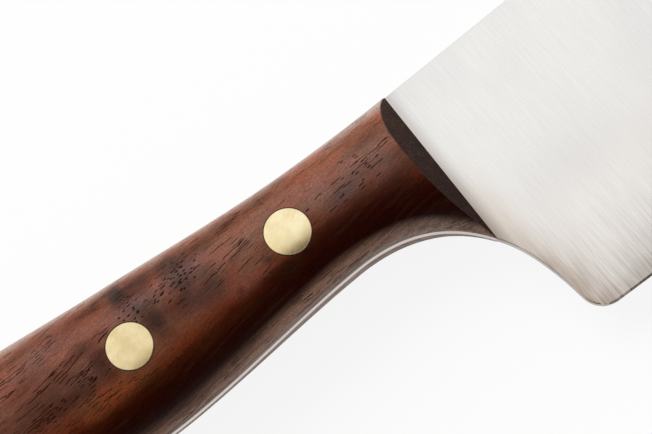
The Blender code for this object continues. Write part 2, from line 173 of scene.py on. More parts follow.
# Patches in the wood: place along and across in millimetres, half length, half width, strength.
# Lines, dots and dashes say where the pores are dense, and the other keys where a colour lies.
RIGHT_PATCHES = {
    "pale": [
        (-11.6, -7.9, 7.0, 3.0, 0.90),
        (-20.0, -7.8, 5.6, 2.8, 0.80),
        (-37.0, -11.6, 6.0, 2.2, 0.40),
    ],
    "mauve": [
        (-45.4, -3.0, 6.6, 4.6, 0.95),
        (-45.0, -8.6, 5.0, 3.6, 0.45),
        (-54.4, -2.6, 8.0, 4.2, 1.00),
        (-70.0, 1.0, 13.0, 3.4, 0.60),
        (-8.8, -10.8, 4.6, 3.0, 0.60),
        (-16.4, -10.4, 5.6, 2.4, 0.85),
    ],
    "brown": [
        (-77.0, -6.2, 17.0, 5.0, 0.85),
        (-73.0, -8.4, 11.0, 3.0, 1.00),
        (-77.0, -2.0, 8.0, 2.6, 0.70),
        (-66.0, -3.6, 6.0, 1.9, 0.70),
        (-64.6, -7.6, 3.4, 4.6, 1.00),
        (-53.4, -7.2, 3.2, 4.6, 1.00),
        (-49.0, -7.4, 6.0, 3.6, 0.90),
        (-43.6, -8.6, 5.0, 3.8, 0.75),
        (-75.0, 3.7, 9.0, 1.5, 0.60),
        (-62.0, 2.0, 8.0, 1.7, 0.60),
        (-51.0, -0.3, 9.0, 2.2, 0.60),
        (-41.0, -1.2, 8.0, 2.0, 0.60),
        (-34.6, -1.4, 6.0, 1.9, 0.60),
        (-28.0, -1.5, 6.0, 1.6, 0.70),
        (-16.0, -12.0, 5.6, 1.2, 0.70),
        (-5.0, -13.4, 3.0, 4.2, 0.70),
        (-7.6, -5.4, 6.0, 2.2, 0.55),
        (-104.0, -12.0, 12.0, 5.0, 0.50),
    ],
    "umber": [
        (-72.0, -8.2, 12.0, 2.2, 0.45),
        (-63.0, -14.2, 10.0, 1.3, 0.70),
        (-64.4, -6.6, 3.0, 4.4, 0.50),
        (-67.0, -3.0, 8.0, 1.8, 0.35),
        (-53.6, -6.8, 3.2, 3.4, 0.40),
        (-60.0, 1.1, 3.0, 1.6, 0.40),
        (-54.4, 0.8, 4.0, 1.8, 0.50),
        (-31.0, -14.3, 5.6, 1.9, 0.90),
        (-38.0, -15.4, 5.0, 1.1, 0.50),
        (-25.6, -12.7, 5.0, 1.2, 0.45),
        (-8.0, -13.8, 4.6, 2.4, 0.65),
    ],
    "smoky": [
        (-45.4, -1.2, 3.8, 3.6, 0.62),
        (-45.6, -5.0, 3.2, 3.0, 0.58),
        (-46.2, -8.4, 3.6, 3.6, 0.66),
        (-43.0, -7.0, 2.8, 3.6, 0.35),
        (-54.6, -4.2, 2.8, 2.4, 0.36),
        (-53.4, -7.4, 2.6, 3.2, 0.45),
        (-55.8, 0.9, 2.5, 3.4, 0.95),
        (-53.4, 0.9, 3.4, 1.8, 0.55),
        (-51.6, -0.3, 2.4, 3.0, 0.55),
        (-33.0, -11.0, 1.3, 1.0, 0.80),
        (-39.6, -12.2, 1.0, 0.8, 0.60),
        (-69.4, -12.3, 1.1, 0.9, 0.80),
        (-16.8, -10.4, 4.6, 1.7, 0.35),
        (-12.6, -8.8, 3.6, 1.7, 0.30),
        (-66.3, -8.0, 4.0, 2.4, 0.40),
    ],
    "amber": [
        (-66.0, -12.4, 9.0, 2.2, 0.40),
        (-15.0, -3.6, 9.0, 1.8, 0.20),
        (-99.0, -15.0, 8.0, 2.4, 0.40),
    ],
    "lines": [
        (-37.6, -6.2, 6.2, 4.6, 0.90),
        (-61.5, -3.8, 4.5, 2.4, 1.20),
        (-73.0, -4.0, 14.0, 1.8, 1.50),
        (-79.0, -8.5, 6.0, 5.0, 1.00),
        (-74.0, 0.6, 6.0, 1.8, 0.80),
        (-35.0, -1.2, 9.0, 1.4, 0.90),
    ],
    "dots": [(-45.1, -3.9, 3.8, 4.4, 1.0), (-55.0, -3.2, 3.6, 2.8, 1.0)],
    "dashes": [
        (-50.0, -4.0, 3.6, 3.0, 1.1),
        (-67.4, -7.8, 2.8, 1.8, 1.2),
        (-73.9, -7.9, 2.4, 1.6, 1.2),
        (-77.0, -8.8, 2.4, 1.6, 1.1),
        (-15.0, -10.4, 5.0, 2.2, 0.70),
        (-12.6, -8.0, 7.0, 4.0, 0.50),
        (-20.5, -8.0, 5.0, 3.0, 0.42),
        (-28.0, -1.8, 6.0, 1.6, 0.80),
    ],
}
LEFT_PATCHES = {
    "pale": [(-20.0, -8.0, 8.0, 3.0, 0.60), (-50.0, -3.0, 8.0, 4.0, 0.40)],
    "mauve": [
        (-30.0, -5.0, 8.0, 5.0, 0.80),
        (-66.0, -3.0, 9.0, 5.0, 0.80),
        (-88.0, 2.0, 9.0, 4.0, 0.60),
    ],
    "brown": [
        (-15.0, -9.0, 14.0, 5.0, 0.60),
        (-88.0, -7.0, 12.0, 5.0, 0.80),
        (-52.0, -9.0, 12.0, 4.0, 0.60),
    ],
    "umber": [(-86.0, -7.6, 9.0, 2.6, 0.50), (-50.0, -14.0, 8.0, 2.0, 0.70)],
    "smoky": [
        (-31.4, -4.6, 2.8, 4.4, 0.60),
        (-64.4, -2.4, 3.2, 4.6, 0.60),
        (-84.0, 3.0, 2.6, 2.6, 0.80),
    ],
    "amber": [(-40.0, -11.0, 10.0, 2.4, 0.40), (-74.0, -12.0, 12.0, 2.6, 0.45)],
    "lines": [
        (-72.0, -5.0, 10.0, 1.8, 1.40),
        (-48.0, -1.0, 7.0, 3.4, 0.95),
        (-20.0, -4.0, 7.0, 3.0, 0.95),
    ],
    "dots": [(-64.4, -2.0, 3.6, 3.6, 1.0), (-31.0, -4.4, 3.4, 3.4, 1.0)],
    "dashes": [
        (-40.0, -7.0, 5.0, 2.4, 0.9),
        (-14.0, -6.0, 6.0, 2.4, 0.6),
        (-92.0, -4.0, 6.0, 2.4, 0.9),
    ],
}


# The knife's outline and sections

def curve_through(stations, x):
    """The value at x on a smooth curve through (x, value) stations, level at its two ends."""
    slopes = [0.0]
    for (x0, v0), (x1, v1), (x2, v2) in zip(stations, stations[1:], stations[2:]):
        before = (v1 - v0) / (x1 - x0)
        after = (v2 - v1) / (x2 - x1)
        slopes.append((before * (x2 - x1) + after * (x1 - x0)) / (x2 - x0))
    slopes.append(0.0)
    x = min(max(x, stations[0][0]), stations[-1][0])
    for i, ((x0, v0), (x1, v1)) in enumerate(zip(stations, stations[1:])):
        if x <= x1:
            break
    span = x1 - x0
    t = (x - x0) / span
    s = 1 - t
    leave = v0 + slopes[i] * span / 3
    arrive = v1 - slopes[i + 1] * span / 3
    return s**3 * v0 + 3 * s * s * t * leave + 3 * s * t * t * arrive + t**3 * v1


def fade(x, start, length):
    """0 before start, 1 past start + length, and smooth between."""
    t = min(max((x - start) / length, 0.0), 1.0)
    return t * t * (3 - 2 * t)


def corner_drop(distance, radius):
    reach = radius - min(max(distance, 0.0), radius)
    return radius - math.sqrt(radius**2 - reach**2)


def direction(angle):
    return Vector((math.cos(angle), -math.sin(angle)))


def bezier(start, leave, arrive, end, steps):
    points = []
    for i in range(steps):
        t = i / steps
        s = 1 - t
        points.append(s**3 * start + 3 * s * s * t * leave + 3 * s * t * t * arrive + t**3 * end)
    return points


def edge_line(x):
    centre_x = HEEL_FORWARD + BELLY_RADIUS * math.sin(EDGE_FALL)
    centre_y = BELLY_RADIUS * math.cos(EDGE_FALL) - HEEL_DEPTH
    return centre_y - math.sqrt(BELLY_RADIUS**2 - (max(x, HEEL_FORWARD) - centre_x) ** 2)


TIP_X = HEEL_FORWARD + BLADE_LENGTH


def top_line(x):
    butt_corner = corner_drop(x - BUTT_X, BUTT_TOP_RADIUS)
    tip_corner = corner_drop(TIP_X - x, TIP_TOP_RADIUS)
    return curve_through(BACK_STATIONS, x) - butt_corner - tip_corner


def underside_points():
    """The lower outline from the butt to the tip: handle, arch, choil, heel and cutting edge."""
    points = []
    quarter = math.pi / 2
    xs = [
        BUTT_X + BUTT_TOP_RADIUS * (1 - math.cos(i / BUTT_STEPS * quarter)) for i in range(BUTT_STEPS)
    ]
    start = BUTT_X + BUTT_TOP_RADIUS
    xs += [start + (WAIST_X - start) * i / GRIP_STEPS for i in range(GRIP_STEPS)]
    for x in xs:
        corner = corner_drop(x - BUTT_X, BUTT_BOTTOM_RADIUS)
        points.append(Vector((x, curve_through(UNDERSIDE_STATIONS, x) + corner)))
    waist = Vector((WAIST_X, UNDERSIDE_STATIONS[-1][1]))
    foot = Vector((-FRONT_BACK, -FRONT_DEPTH))
    heel = Vector((HEEL_FORWARD, edge_line(HEEL_FORWARD)))
    side = heel - direction(HEEL_SIDE_ANGLE) * HEEL_SIDE_LENGTH
    chord = (foot - waist).length
    pull = (side - foot).length * CHOIL_FULLNESS
    leave = waist + Vector((chord * ARCH_WAIST_FULLNESS, 0.0))
    reach = foot - direction(FRONT_ANGLE) * chord * ARCH_FRONT_FULLNESS
    points += bezier(waist, leave, reach, foot, ARCH_STEPS)
    leave = foot + direction(FRONT_ANGLE) * pull
    reach = side - direction(HEEL_SIDE_ANGLE) * pull
    points += bezier(foot, leave, reach, side, CHOIL_STEPS)
    half_angle = (math.pi - HEEL_SIDE_ANGLE + EDGE_FALL) / 2
    corner_start = heel - direction(HEEL_SIDE_ANGLE) * HEEL_RADIUS / math.tan(half_angle)
    centre = corner_start + direction(HEEL_SIDE_ANGLE - quarter) * HEEL_RADIUS
    for i in range(CORNER_STEPS + 1):
        turn = HEEL_SIDE_ANGLE + (EDGE_FALL - HEEL_SIDE_ANGLE) * i / CORNER_STEPS
        points.append(centre - direction(turn - quarter) * HEEL_RADIUS)
    start = points[-1].x
    end = TIP_X - TIP_TOP_RADIUS
    for i in range(1, EDGE_STEPS + 1):
        x = start + (end - start) * i / EDGE_STEPS
        points.append(Vector((x, edge_line(x))))
    for i in range(1, CORNER_STEPS + 1):
        x = end + TIP_TOP_RADIUS * math.sin(i / CORNER_STEPS * quarter)
        points.append(Vector((x, edge_line(x) + corner_drop(TIP_X - x, TIP_BOTTOM_RADIUS))))
    return points


OUTLINE = underside_points()


def underside_at(x):
    for a, b in zip(OUTLINE, OUTLINE[1:]):
        if a.x <= x <= b.x:
            return a.y + (b.y - a.y) * (x - a.x) / (b.x - a.x)
    return OUTLINE[0].y


def steel_half_thickness(x, y):
    """Flat near the spine and in the tang, convex down to the shoulder."""
    full = BLADE_THICKNESS / 2
    shoulder = SHOULDER_THICKNESS / 2
    rise = (y - edge_line(x) - SHOULDER_HEIGHT) / (GRIND_HEIGHT - SHOULDER_HEIGHT)
    ground = shoulder + (full - shoulder) * (1 - (1 - min(max(rise, 0.0), 1.0)) ** 2)
    return full + (ground - full) * fade(x, 0.0, GRIND_RUN_OUT)


def steel_section(point):
    """One ring round the steel: the sharpened bevel, which starts at the heel, the grind and the flat."""
    x, low = point
    high = top_line(x)
    grind_top = min(max(edge_line(x) + GRIND_HEIGHT, (low + high) / 2), high - SHOULDER_HEIGHT)
    blunt = steel_half_thickness(x, low)
    bevel = BEVEL_HEIGHT
    side = [(low, blunt)]
    if x > BEVEL_START:
        bevel = max(BEVEL_HEIGHT * fade(x, BEVEL_START, BEVEL_RUN_IN), BEVEL_LEAST)
        edge = max(blunt - bevel * math.tan(BEVEL_STEEPEST), EDGE_THICKNESS / 2)
        side = [(low, blunt + (edge - blunt) * fade(TIP_X - x, 0.0, TIP_BOTTOM_RADIUS))]
    for i in range(GRIND_ROWS + 1):
        y = low + bevel + (grind_top - low - bevel) * i / GRIND_ROWS
        side.append((y, steel_half_thickness(x, y)))
    for i in range(1, FLAT_ROWS + 1):
        y = grind_top + (high - grind_top) * i / FLAT_ROWS
        side.append((y, steel_half_thickness(x, y)))
    return [(x, y, z) for y, z in side] + [(x, y, -z) for y, z in reversed(side)]


def crown_line(x):
    front = RIVET_STATIONS["front"]
    return CROWN_ABOVE_RIVETS - RIVET_LINE_DEPTH - (x - front) * math.tan(RIVET_LINE_RISE)


def scale_thickness(x):
    thickness = curve_through(THICKNESS_STATIONS, x)
    loss = corner_drop(x - BUTT_X, BUTT_ROUND) / BUTT_ROUND
    return thickness - (thickness - BUTT_THICKNESS) * loss


def scale_surface(x, y, low):
    """Height of a scale's outer face over the middle of the steel."""
    crown = crown_line(x)
    thickness = scale_thickness(x)
    if y < crown:
        lip = min(curve_through(LIP_STATIONS, x), thickness / 2)
        across = ((crown - y) / (crown - low)) ** curve_through(UNDERSIDE_ROUNDING, x)
        through = 1 / curve_through(UNDERSIDE_SQUARENESS, x)
    else:
        lip = TOP_LIP
        across = ((y - crown) / (top_line(x) - crown)) ** TOP_ROUNDING
        through = 1 / curve_through(TOP_SQUARENESS, x)
    return SCALE_FOOT + lip + (thickness - lip) * max(1 - across, 0.0) ** through


def scale_section(point):
    """One ring round a scale: its flat foot, the rounded underside, the crown and the rounded back."""
    x, low = point
    high = top_line(x)
    crown = crown_line(x)
    thickness = scale_thickness(x)
    lip = min(curve_through(LIP_STATIONS, x), thickness / 2)
    ring = [(x, low, SCALE_FOOT)]
    for i in range(SCALE_STEPS + 1):
        turn = i / SCALE_STEPS * math.pi / 2
        y = crown - (crown - low) * math.cos(turn) ** (2 / curve_through(UNDERSIDE_ROUNDING, x))
        rise = math.sin(turn) ** (2 / curve_through(UNDERSIDE_SQUARENESS, x))
        ring.append((x, y, SCALE_FOOT + lip + (thickness - lip) * rise))
    for i in range(SCALE_STEPS - 1, -1, -1):
        turn = i / SCALE_STEPS * math.pi / 2
        y = crown + (high - crown) * math.cos(turn) ** (2 / TOP_ROUNDING)
        rise = math.sin(turn) ** (2 / curve_through(TOP_SQUARENESS, x))
        ring.append((x, y, SCALE_FOOT + TOP_LIP + (thickness - TOP_LIP) * rise))
    ring.append((x, high, SCALE_FOOT))
    for i in range(1, FOOT_STEPS):
        ring.append((x, high + (low - high) * i / FOOT_STEPS, SCALE_FOOT))
    return ring


# Modelling helpers

def pick(mesh, mode, wanted):
    """Selects, in edit mode, the parts that wanted says yes to."""
    bpy.ops.mesh.select_mode(type=mode)
    bpy.ops.mesh.select_all(action="DESELECT")
    bm = bmesh.from_edit_mesh(mesh)
    for item in {"VERT": bm.verts, "EDGE": bm.edges, "FACE": bm.faces}[mode]:
        item.select = wanted(item)
    bm.select_flush_mode()
    bmesh.update_edit_mesh(mesh)


def wrapped_sheet(name, rings):
    """Lays a sheet of squares round the rings, closes its seam and caps its two ends."""
    rows = len(rings) - 1
    columns = len(rings[0])
    bpy.ops.object.select_all(action="DESELECT")
    bpy.ops.mesh.primitive_grid_add(x_subdivisions=rows, y_subdivisions=columns, size=2)
    piece = bpy.context.object
    piece.name = name
    piece.data.name = name
    for vert in piece.data.vertices:
        row = round((vert.co.x + 1) / 2 * rows)
        column = round((vert.co.y + 1) / 2 * columns)
        vert.co = rings[row][column % columns]
    bpy.ops.object.mode_set(mode="EDIT")
    bpy.ops.mesh.select_all(action="SELECT")
    bpy.ops.mesh.remove_doubles(threshold=MERGED)
    for end_x in (rings[0][0][0], rings[-1][0][0]):
        pick(
            piece.data,
            "EDGE",
            lambda edge: edge.is_boundary and abs(edge.verts[0].co.x - end_x) < NEAR,
        )
        bpy.ops.mesh.edge_face_add()
    bpy.ops.mesh.select_all(action="SELECT")
    bpy.ops.mesh.normals_make_consistent(inside=False)
    return piece


def drilled(piece, name, place, radius, low, high):
    """Cuts one round hole with a cylinder that is removed again."""
    bpy.ops.object.select_all(action="DESELECT")
    bpy.ops.mesh.primitive_cylinder_add(
        vertices=ROUND_STEPS, radius=radius, depth=high - low, location=(*place, (low + high) / 2)
    )
    bit = bpy.context.object
    cut = piece.modifiers.new(name, "BOOLEAN")
    cut.object = bit
    cut.solver = "EXACT"
    bpy.context.view_layer.objects.active = piece
    bpy.ops.object.modifier_apply(modifier=name)
    bpy.data.objects.remove(bit)


def rivet_place(label):
    x = RIVET_STATIONS[label]
    return x, crown_line(x) - CROWN_ABOVE_RIVETS


def turned_over(piece):
    """Moves the piece to the left side of the knife."""
    bpy.context.view_layer.objects.active = piece
    bpy.ops.object.mode_set(mode="EDIT")
    bpy.ops.mesh.select_all(action="SELECT")
    bpy.ops.transform.mirror(constraint_axis=(False, False, True), center_override=(0.0, 0.0, 0.0))
    bpy.ops.mesh.normals_make_consistent(inside=False)
    bpy.ops.object.mode_set(mode="OBJECT")


def laid_down(piece, crease):
    """Shades the piece, and brings it from the knife's own axes to where the knife lies."""
    bpy.ops.object.select_all(action="DESELECT")
    piece.select_set(True)
    bpy.context.view_layer.objects.active = piece
    bpy.ops.object.shade_smooth_by_angle(angle=crease)
    piece.matrix_world = KNIFE
    bpy.ops.object.transform_apply(location=True, rotation=True, scale=True)


# Pieces

def make_blade():
    blade = wrapped_sheet("nakiri_blade", [steel_section(point) for point in OUTLINE])

    def spine_or_belly_edge(edge):
        """The long corners along the spine and along the choil and the tang's underside."""
        a, b = (vert.co for vert in edge.verts)
        along = abs(a.x - b.x) > NEAR and a.z * b.z > 0
        top = abs(a.y - top_line(a.x)) < NEAR and abs(b.y - top_line(b.x)) < NEAR
        thick = abs(a.z) > THICK_STEEL and abs(b.z) > THICK_STEEL
        bottom = edge.calc_face_angle(0.0) > 60 * DEGREE
        return along and thick and (top or bottom)

    pick(blade.data, "EDGE", spine_or_belly_edge)
    bpy.ops.mesh.bevel(offset=STEEL_EDGE_BREAK, segments=BREAK_STEPS, affect="EDGES")
    bpy.ops.object.mode_set(mode="OBJECT")
    hole = RIVET_SHANK_RADIUS + HOLE_CLEARANCE
    for label in RIVET_STATIONS:
        drilled(blade, label, rivet_place(label), hole, -BLADE_THICKNESS, BLADE_THICKNESS)
    return blade


def make_scale(name):
    stations = [point for point in OUTLINE if point.x < HEEL_FORWARD / 2]
    scale = wrapped_sheet(name, [scale_section(point) for point in stations])
    rake = Vector((1.0, -math.tan(FRONT_SKEW), math.tan(FRONT_RAKE))).normalized()
    bpy.ops.mesh.select_all(action="SELECT")
    bpy.ops.mesh.bisect(
        plane_co=(0.0, 0.0, SCALE_FOOT),
        plane_no=rake,
        use_fill=True,
        clear_outer=True,
        threshold=MERGED,
    )
    bpy.ops.object.mode_set(mode="OBJECT")
    for label in RIVET_STATIONS:
        place = rivet_place(label)
        seat = scale_surface(*place, underside_at(place[0])) - RIVET_HEAD_DEPTH
        drilled(scale, label, place, RIVET_SHANK_RADIUS + HOLE_CLEARANCE, 0.0, HOLE_END)
        drilled(scale, label, place, RIVET_HEAD_RADIUS + RIVET_GAP, seat, HOLE_END)
    bpy.ops.object.mode_set(mode="EDIT")
    pick(scale.data, "FACE", lambda face: face.normal.dot(rake) > 0.999)
    bpy.ops.mesh.bevel(offset=FRONT_EDGE_BREAK, segments=BREAK_STEPS, affect="EDGES")
    bpy.ops.object.mode_set(mode="OBJECT")
    return scale


def make_rivet(name, label, is_sleeve):
    """A rivet half: its head is ground to the shape of the scale round it."""
    x, y = rivet_place(label)
    low = underside_at(x)
    seat = scale_surface(x, y, low) - RIVET_HEAD_DEPTH + RIVET_HEAD_LIFT
    bpy.ops.object.select_all(action="DESELECT")
    bpy.ops.mesh.primitive_circle_add(
        vertices=ROUND_STEPS, radius=RIVET_HEAD_RADIUS, fill_type="NGON", location=(x, y, seat)
    )
    rivet = bpy.context.object
    rivet.name = name
    rivet.data.name = name
    bpy.ops.object.transform_apply(location=True, rotation=True, scale=True)
    bpy.ops.object.mode_set(mode="EDIT")
    bpy.ops.mesh.select_all(action="SELECT")
    bpy.ops.mesh.extrude_region_move(TRANSFORM_OT_translate={"value": (0, 0, RIVET_HEAD_DEPTH)})
    bpy.ops.mesh.inset(thickness=RIVET_RIM_WIDTH)
    for _ in range(RIVET_RINGS):
        bpy.ops.mesh.inset(thickness=RIVET_RING_WIDTH)
    bpy.ops.mesh.poke()
    bm = bmesh.from_edit_mesh(rivet.data)
    for vert in bm.verts:
        if vert.co.z > seat + RIVET_HEAD_DEPTH / 2:
            from_middle = math.hypot(vert.co.x - x, vert.co.y - y)
            drop = RIVET_RIM_DROP if from_middle > RIVET_HEAD_RADIUS - RIVET_RIM_WIDTH / 3 else 0.0
            vert.co.z = scale_surface(vert.co.x, vert.co.y, low) - drop
    bmesh.update_edit_mesh(rivet.data)
    pick(rivet.data, "FACE", lambda face: len(face.verts) == ROUND_STEPS)
    shank = RIVET_SHANK_RADIUS if is_sleeve else RIVET_PIN_RADIUS
    bpy.ops.mesh.inset(thickness=RIVET_HEAD_RADIUS - shank)
    bpy.ops.mesh.extrude_region_move(
        TRANSFORM_OT_translate={"value": (0, 0, -seat - SCALE_FOOT - RIVET_REACH)}
    )
    if is_sleeve:
        bpy.ops.mesh.inset(thickness=RIVET_SHANK_RADIUS - RIVET_BORE_RADIUS)
        bore = 2 * SCALE_FOOT + RIVET_REACH + BORE_END
        bpy.ops.mesh.extrude_region_move(TRANSFORM_OT_translate={"value": (0, 0, bore)})
    bpy.ops.mesh.select_all(action="SELECT")
    bpy.ops.mesh.normals_make_consistent(inside=False)
    bpy.ops.object.mode_set(mode="OBJECT")
    return rivet


def knife_matrix(record):
    """Where the knife's own axes lie, from the flat faces of the record."""
    mounts = {mount["name"]: mount for mount in record["mounts"]}
    up = Vector(mounts["right_rack_face"]["axis"]).normalized()
    back = Vector(mounts["spine_face"]["axis"]).normalized()
    turn = Matrix((back.cross(up), back, up)).transposed()
    point = Vector(mounts["right_rack_face"]["pos_m"])
    return Matrix.Translation(point - turn @ RACK_POINT) @ turn.to_4x4()


KNIFE = knife_matrix(frame["record"])


# Finishes, with colours as linear red, green and blue

GRAIN_TILT = 6 * DEGREE
STEEL_CLOUDS = (0.785, 0.78, 0.775), (0.83, 0.825, 0.815)
WARM_HEEL_SHADE = (0.80, 0.73, 0.68)
TANG_WOOD_REFLECTION = (0.95, 0.79, 0.71)
RESIDUE_AND_REFLECTION_BY_HANDLE = (0.70, 0.63, 0.56)
SHADE_BY_SCALES = (0.07, 0.06, 0.05)
TARNISH_AND_SHADE = (0.26, 0.16, 0.09)
FRONT_RIVET_BRASS = (0.84, 0.70, 0.41), (0.93, 0.83, 0.55)
SHADED_RIVET_BRASS = (0.70, 0.56, 0.305), (0.84, 0.71, 0.43)

# Across the handle, from the underside to the back; the near-black band low on the side is painted shade
WOOD_BAND_TOP = 1.25
WOOD_TONES_AND_SHADE = (
    (0.20, (0.017, 0.0015, 0.0004)),
    (0.32, (0.024, 0.003, 0.0006)),
    (0.40, (0.048, 0.008, 0.002)),
    (0.47, (0.125, 0.025, 0.008)),
    (0.56, (0.155, 0.046, 0.022)),
    (0.72, (0.215, 0.083, 0.053)),
    (0.84, (0.212, 0.078, 0.048)),
    (0.98, (0.205, 0.064, 0.031)),
    (1.12, (0.260, 0.120, 0.078)),
)
PATCH_COLOURS = {
    "pale": (0.230, 0.098, 0.070),
    "mauve": (0.130, 0.068, 0.058),
    "brown": (0.066, 0.014, 0.004),
    "umber": (0.024, 0.006, 0.002),
    "smoky": (0.032, 0.018, 0.014),
    "amber": (0.290, 0.080, 0.026),
}
DARK_STREAK = (0.040, 0.014, 0.008)
LIGHT_STREAK = (1.35, 1.25, 1.15)
WOOD_TINTS = (1.06, 0.94, 0.92), (0.94, 1.05, 1.06)
UNDERSIDE_SHEEN = (0.340, 0.178, 0.122), (0.310, 0.190, 0.143)
RIM_HIGHLIGHT = (0.400, 0.270, 0.215)
WALL_SHEEN_TONES = {"right": (0.340, 0.225, 0.180), "left": (0.440, 0.295, 0.235)}
PORE = (0.010, 0.004, 0.002)
END_GRAIN = (0.072, 0.038, 0.028), (0.046, 0.021, 0.015)
END_GRAIN_DARK = (0.014, 0.008, 0.006)
END_GRAIN_LIGHT = (0.120, 0.075, 0.060)
END_GRAIN_STAIN = (0.030, 0.022, 0.022)

# Pores: cell length and width in millimetres, dash size, turn in degrees, move, and the map they follow
PORE_LAYERS = (
    ((20.0, 0.60, 0.15, 4.0, 131.0), "lines"),
    ((12.0, 0.62, 0.14, 4.0, 1.0), "long"),
    ((9.0, 0.56, 0.15, 7.0, 23.0), "long"),
    ((7.0, 0.60, 0.15, 2.0, 97.0), "long"),
    ((3.6, 0.62, 0.17, 3.0, 41.0), "short"),
    ((2.4, 0.72, 0.18, 8.0, 53.0), "dashes"),
    ((1.25, 0.66, 0.24, 10.0, 67.0), "dots"),
)


def add(tree, kind, inputs=(), **settings):
    """A node with its inputs set to numbers or joined to sockets."""
    item = tree.nodes.new(kind)
    for key, value in settings.items():
        setattr(item, key, value)
    for key, value in dict(inputs).items():
        if isinstance(value, bpy.types.NodeSocket):
            tree.links.new(value, item.inputs[key])
        else:
            item.inputs[key].default_value = value
    return item


def math_node(tree, operation, a, b=0.0, c=0.0):
    return add(tree, "ShaderNodeMath", {0: a, 1: b, 2: c}, operation=operation).outputs[0]


def times(tree, a, b):
    return math_node(tree, "MULTIPLY", a, b)


def greater(tree, a, b):
    return math_node(tree, "MAXIMUM", a, b)


def scaled(tree, vector, factor):
    return add(
        tree, "ShaderNodeVectorMath", {0: vector, "Scale": factor}, operation="SCALE"
    ).outputs[0]


def moved(tree, vector, by):
    return add(tree, "ShaderNodeVectorMath", {0: vector, 1: by}, operation="ADD").outputs[0]


def length(tree, vector):
    return add(tree, "ShaderNodeVectorMath", {0: vector}, operation="LENGTH").outputs["Value"]


def ramp(tree, value, low, high, to_low=0.0, to_high=1.0, smooth=True):
    item = add(
        tree,
        "ShaderNodeMapRange",
        {"Value": value, "From Min": low, "From Max": high, "To Min": to_low, "To Max": to_high},
        interpolation_type="SMOOTHSTEP" if smooth else "LINEAR",
    )
    return item.outputs["Result"]


def mix(tree, share, a, b, blend="MIX"):
    item = add(tree, "ShaderNodeMix", data_type="RGBA", blend_type=blend)
    for socket, value in ((item.inputs[0], share), (item.inputs[6], a), (item.inputs[7], b)):
        if isinstance(value, bpy.types.NodeSocket):
            tree.links.new(value, socket)
        else:
            socket.default_value = (*value, 1.0) if isinstance(value, tuple) else value
    return item.outputs[2]


def knife_millimetres(tree):
    """Object coordinates turned to the knife's own axes, in millimetres."""
    place = add(tree, "ShaderNodeTexCoord").outputs["Object"]
    own = add(
        tree,
        "ShaderNodeMapping",
        {"Vector": place, "Location": KNIFE.to_translation(), "Rotation": KNIFE.to_euler()},
        vector_type="TEXTURE",
    )
    return scaled(tree, own.outputs[0], 1 / MM)


def stretched(tree, vector, scale, turn=0.0, move=(0.0, 0.0, 0.0)):
    turned = add(tree, "ShaderNodeMapping", {"Vector": vector, "Rotation": (0.0, 0.0, -turn)}).outputs[0]
    return add(tree, "ShaderNodeMapping", {"Vector": turned, "Scale": scale, "Location": move}).outputs[0]


def noise(tree, vector, detail=2.0, roughness=0.5):
    return add(
        tree,
        "ShaderNodeTexNoise",
        {"Vector": vector, "Scale": 1.0, "Detail": detail, "Roughness": roughness},
    ).outputs["Fac"]


def new_material(name, **values):
    material = bpy.data.materials.new(name)
    material.use_nodes = True
    tree = material.node_tree
    shader = tree.nodes["Principled BSDF"]
    for key, value in values.items():
        shader.inputs[key.replace("_", " ")].default_value = value
    return material, tree, shader


def join_to(tree, shader, **sockets):
    for key, socket in sockets.items():
        tree.links.new(socket, shader.inputs[key.replace("_", " ")])


